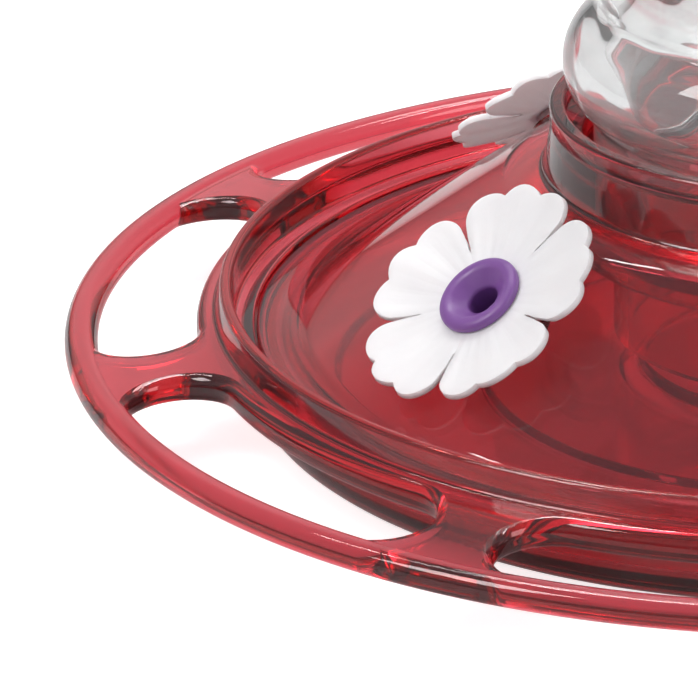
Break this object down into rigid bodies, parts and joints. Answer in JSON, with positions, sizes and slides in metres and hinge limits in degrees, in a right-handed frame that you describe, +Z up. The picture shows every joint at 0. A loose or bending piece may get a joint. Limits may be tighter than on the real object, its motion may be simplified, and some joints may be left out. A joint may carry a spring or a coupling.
{
  "type": "hummingbird feeder",
  "caption": "Saucer-shaped hummingbird feeder with a slotted perch ring, red conical cover, white flower ports and an upside-down clear glass bottle with a wire bail.",
  "frame": {"origin": "middle of the underside of the bowl, on the surface that it stands on", "axes": "+Z up along the bottle, +X along a perch slot, the flowers on the diagonals between X and Y"},
  "size_m": [0.21, 0.21, 0.2362],
  "materials": {
    "red_plastic": "deep red transparent gloss",
    "clear_glass": "thick clear blown glass",
    "white_plastic": "satin white",
    "purple_plastic": "satin purple",
    "black_rubber": "matte black",
    "steel": "plain bright wire and strip"
  },
  "bodies": {
    "bowl": {"nectar_bowl": "red_plastic"},
    "cover": {"base_cover": "red_plastic", "bottle_seal": "black_rubber"},
    "bottle": {"bottle": "clear_glass", "hanger_band": "steel", "band_screw": "steel", "band_nut": "steel"},
    "bail": {"hanger_bail": "steel"},
    "flower_1": {"flower_1": "white_plastic", "port_1": "purple_plastic"},
    "flower_2": {"flower_2": "white_plastic", "port_2": "purple_plastic"},
    "flower_3": {"flower_3": "white_plastic", "port_3": "purple_plastic"},
    "flower_4": {"flower_4": "white_plastic", "port_4": "purple_plastic"}
  },
  "joints": [
    {"name": "cover_lift", "type": "slide", "parent": "bowl", "child": "cover", "axis": [0, 0, 1], "range_m": [0, 0.05]},
    {"name": "bottle_lift", "type": "slide", "parent": "cover", "child": "bottle", "axis": [0, 0, 1], "range_m": [0, 0.05]},
    {"name": "bail_swing", "type": "hinge", "parent": "bottle", "child": "bail", "pos_m": [0, 0, 0.1995], "axis": [1, 0, 0], "range_deg": [-115, 115]},
    {"name": "flower_pull_1", "type": "slide", "parent": "cover", "child": "flower_1", "axis": [0.4414, 0.4414, 0.7812], "range_m": [0, 0.025]},
    {"name": "flower_pull_2", "type": "slide", "parent": "cover", "child": "flower_2", "axis": [-0.4414, 0.4414, 0.7812], "range_m": [0, 0.025]},
    {"name": "flower_pull_3", "type": "slide", "parent": "cover", "child": "flower_3", "axis": [-0.4414, -0.4414, 0.7812], "range_m": [0, 0.025]},
    {"name": "flower_pull_4", "type": "slide", "parent": "cover", "child": "flower_4", "axis": [0.4414, -0.4414, 0.7812], "range_m": [0, 0.025]}
  ]
}
